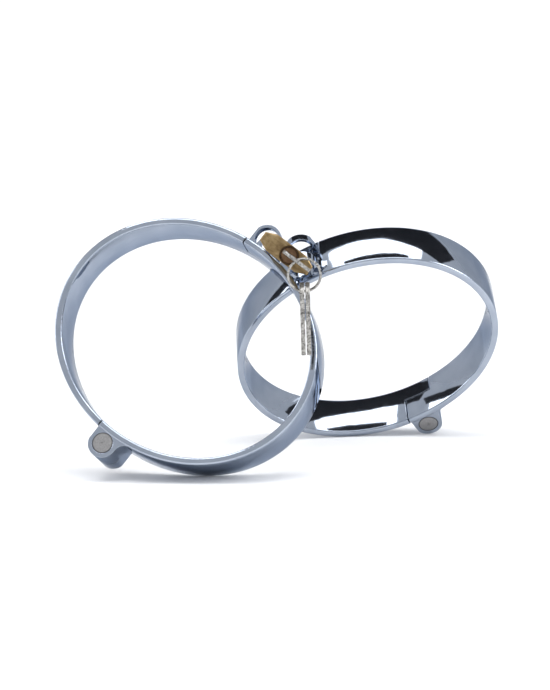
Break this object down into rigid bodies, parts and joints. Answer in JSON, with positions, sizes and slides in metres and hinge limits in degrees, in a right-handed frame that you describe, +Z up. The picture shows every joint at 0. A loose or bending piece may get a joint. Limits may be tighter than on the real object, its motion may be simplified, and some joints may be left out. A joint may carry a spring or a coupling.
{
  "type": "handcuffs",
  "caption": "Pair of oval chrome cuffs, each two hinged halves, joined by a small brass padlock with its key, split ring and spare keys.",
  "frame": {"origin": "on the floor, under the middle of the pair's bounding box, with the pair standing as an A-frame", "axes": "+Z up, +X along the pair's longest extent from the left cuff to the right cuff, -Y towards the padlock's key side"},
  "size_m": [0.1574, 0.105, 0.088],
  "materials": {
    "cuff": "mirror chrome plate",
    "pin": "satin ground end",
    "brass": "brushed",
    "shackle": "polished",
    "spring": "drawn wire",
    "key": "worn nickel plate",
    "ring": "nickel plate"
  },
  "bodies": {
    "left_a": {"left_half_a": "cuff", "left_hinge_pin": "pin"},
    "left_b": {"left_half_b": "cuff"},
    "lock": {"padlock_body": "brass", "shackle": "shackle", "shackle_spring": "spring", "latch_spring": "spring", "retaining_pin": "spring", "driver_pins": "brass", "pin_springs": "spring", "chamber_plugs": "brass"},
    "latch": {"latch_bolt": "brass"},
    "plug": {"lock_plug": "brass", "key_in_lock": "key", "key_pins": "brass"},
    "right_a": {"right_half_a": "cuff", "right_hinge_pin": "pin"},
    "right_b": {"right_half_b": "cuff"},
    "ring": {"split_ring": "ring"},
    "key_1": {"spare_key_1": "key"},
    "key_2": {"spare_key_2": "key"}
  },
  "joints": [
    {"name": "left_cuff_hinge", "type": "hinge", "parent": "left_a", "child": "left_b", "pos_m": [-0.06072, -0.03129, 0.01029], "axis": [-0.1635, -0.8971, 0.4104], "range_deg": [0, 0.4]},
    {"name": "right_cuff_hinge", "type": "hinge", "parent": "right_a", "child": "right_b", "pos_m": [0.05399, 0.04252, 0.00915], "axis": [0.0368, -0.8157, -0.5773], "range_deg": [0, 0.4]},
    {"name": "padlock_swing", "type": "hinge", "parent": "left_a", "child": "lock", "pos_m": [-0.0024, -0.01533, 0.07915], "axis": [-0.0002, -0.9948, 0.1018], "range_deg": [-1, 5]},
    {"name": "right_cuff_swing", "type": "hinge", "parent": "lock", "child": "right_a", "pos_m": [0.00809, -0.01618, 0.07086], "axis": [0.0002, 0.9948, -0.1018], "range_deg": [-1, 5]},
    {"name": "key_turn", "type": "hinge", "parent": "lock", "child": "plug", "pos_m": [0.00378, -0.03573, 0.0763], "axis": [0.0002, 0.9948, -0.1018], "range_deg": [0, 90]},
    {"name": "latch_slide", "type": "slide", "parent": "lock", "child": "latch", "axis": [-0.7832, 0.0634, 0.6186], "range_m": [0, 0.001]},
    {"name": "ring_swing", "type": "hinge", "parent": "plug", "child": "ring", "pos_m": [0.00613, -0.04686, 0.07556], "axis": [0.6218, 0.0796, 0.7791], "range_deg": [-15, 15]},
    {"name": "spare_key_1_swing", "type": "hinge", "parent": "ring", "child": "key_1", "pos_m": [0.00871, -0.04686, 0.0652], "axis": [1, 0, 0], "range_deg": [-15, 15]},
    {"name": "spare_key_2_swing", "type": "hinge", "parent": "ring", "child": "key_2", "pos_m": [0.00871, -0.04686, 0.0652], "axis": [1, 0, 0], "range_deg": [-15, 15]}
  ],
  "couplings": [
    {"joint": "latch_slide", "follows": "key_turn", "m_per_rad": 0.00063662}
  ]
}
